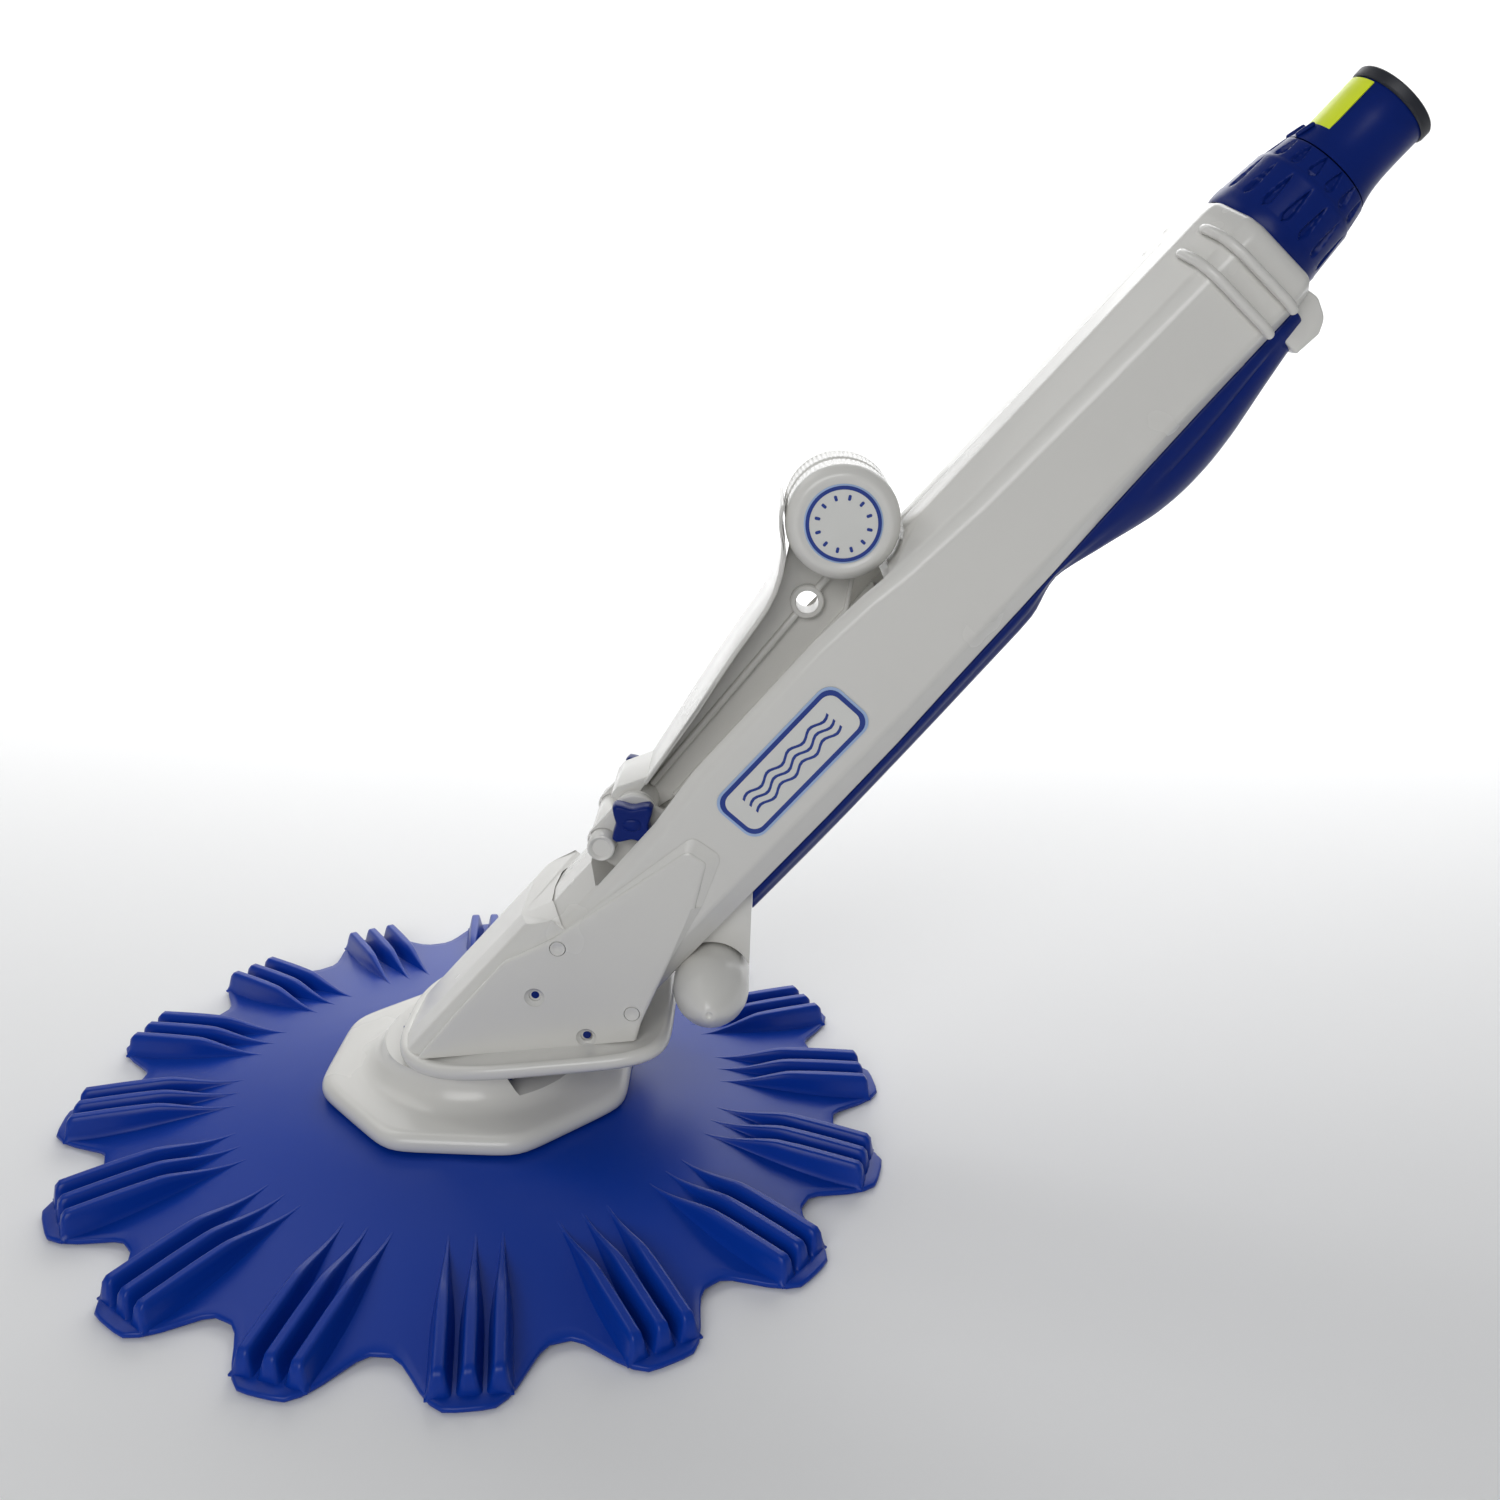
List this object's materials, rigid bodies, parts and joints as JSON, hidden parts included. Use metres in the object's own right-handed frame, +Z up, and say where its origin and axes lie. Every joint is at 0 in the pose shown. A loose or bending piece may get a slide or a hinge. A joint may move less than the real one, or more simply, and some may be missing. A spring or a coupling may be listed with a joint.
{
  "type": "pool cleaner",
  "caption": "Suction-side pool cleaner: finned disc, octagonal foot, leaning two-half casing with flapper throat, tilting bumper arm with wheels, rear rollers and swivel hose tail.",
  "frame": {"origin": "centre of the whole object's footprint, on the floor that the disc's lobes stand on", "axes": "+X along the floor the way the casing leans, +Y across the cleaner, +Z up"},
  "size_m": [0.625, 0.4254, 0.5217],
  "materials": {
    "white_plastic": "gloss, slightly warm white moulding",
    "blue_plastic": "gloss navy moulding",
    "disc_rubber": "soft royal blue sheet, semi-gloss",
    "seal_rubber": "matt black rubber",
    "label_film": "blank fluorescent yellow film",
    "float_foam": "closed-cell foam",
    "stainless_steel": "plain turned rod",
    "badge_film": "blank film badge"
  },
  "bodies": {
    "casing": {"foot": "white_plastic", "lip_collar": "white_plastic", "casing_left": "white_plastic", "casing_right": "white_plastic", "arm_cradle": "white_plastic", "front_hood": "white_plastic", "side_panel_left": "white_plastic", "side_panel_right": "white_plastic", "panel_plug_left_1": "white_plastic", "panel_plug_left_2": "white_plastic", "panel_plug_right_1": "white_plastic", "panel_plug_right_2": "white_plastic", "inner_pipe_left": "white_plastic", "inner_pipe_right": "white_plastic", "pipe_bulkhead_lower": "white_plastic", "pipe_bulkhead_upper": "white_plastic", "outlet_collar": "white_plastic", "pivot_saddle": "white_plastic", "stop_pin": "white_plastic", "roller_bracket": "white_plastic", "neck_liner": "blue_plastic", "flapper_pin": "blue_plastic", "throat_pin": "blue_plastic", "throat": "blue_plastic", "belly_cover": "blue_plastic", "swivel_nut": "blue_plastic", "sole_ring": "seal_rubber", "swivel_washer": "seal_rubber", "arm_bolt": "stainless_steel", "roller_axle": "stainless_steel", "badge_left": "badge_film", "badge_right": "badge_film", "float_block": "float_foam"},
    "disc": {"finned_disc": "disc_rubber"},
    "hose_tail": {"hose_tail": "blue_plastic", "hose_seal_ring": "seal_rubber", "hose_label": "label_film"},
    "arm": {"bumper_arm": "white_plastic", "wheel_axle": "stainless_steel"},
    "wheel_left": {"bumper_wheel_left": "white_plastic", "wheel_cap_left": "badge_film"},
    "wheel_right": {"bumper_wheel_right": "white_plastic", "wheel_cap_right": "badge_film"},
    "knob_left": {"arm_knob_left": "blue_plastic"},
    "knob_right": {"arm_knob_right": "blue_plastic"},
    "roller_left": {"rear_roller_left": "white_plastic"},
    "roller_right": {"rear_roller_right": "white_plastic"},
    "flapper_left": {"flapper_left": "seal_rubber"},
    "flapper_right": {"flapper_right": "seal_rubber"}
  },
  "joints": [
    {"name": "disc_spin", "type": "hinge", "parent": "casing", "child": "disc", "pos_m": [-0.09976, 0, 0], "axis": [0, 0, 1], "continuous": true},
    {"name": "hose_swivel", "type": "hinge", "parent": "casing", "child": "hose_tail", "pos_m": [0.29722, 0, 0.50888], "axis": [0.6428, 0, 0.766], "continuous": true},
    {"name": "arm_tilt", "type": "hinge", "parent": "casing", "child": "arm", "pos_m": [-0.0183, 0, 0.18202], "axis": [0, -1, 0], "range_deg": [0, 58]},
    {"name": "wheel_left_spin", "type": "hinge", "parent": "arm", "child": "wheel_left", "pos_m": [0.07375, 0, 0.32657], "axis": [0, 1, 0], "continuous": true},
    {"name": "wheel_right_spin", "type": "hinge", "parent": "arm", "child": "wheel_right", "pos_m": [0.07375, 0, 0.32657], "axis": [0, 1, 0], "continuous": true},
    {"name": "knob_left_turn", "type": "hinge", "parent": "casing", "child": "knob_left", "pos_m": [-0.0183, 0, 0.18202], "axis": [0, 1, 0], "continuous": true},
    {"name": "knob_right_turn", "type": "hinge", "parent": "casing", "child": "knob_right", "pos_m": [-0.0183, 0, 0.18202], "axis": [0, 1, 0], "continuous": true},
    {"name": "roller_left_spin", "type": "hinge", "parent": "casing", "child": "roller_left", "pos_m": [0.02124, 0, 0.095], "axis": [0, 1, 0], "continuous": true},
    {"name": "roller_right_spin", "type": "hinge", "parent": "casing", "child": "roller_right", "pos_m": [0.02124, 0, 0.095], "axis": [0, 1, 0], "continuous": true},
    {"name": "flapper_left_swing", "type": "hinge", "parent": "casing", "child": "flapper_left", "pos_m": [-0.06455, 0, 0.09252], "axis": [0, 1, 0], "range_deg": [-12, 30]},
    {"name": "flapper_right_swing", "type": "hinge", "parent": "casing", "child": "flapper_right", "pos_m": [-0.06455, 0, 0.09252], "axis": [0, 1, 0], "range_deg": [-12, 30]}
  ]
}
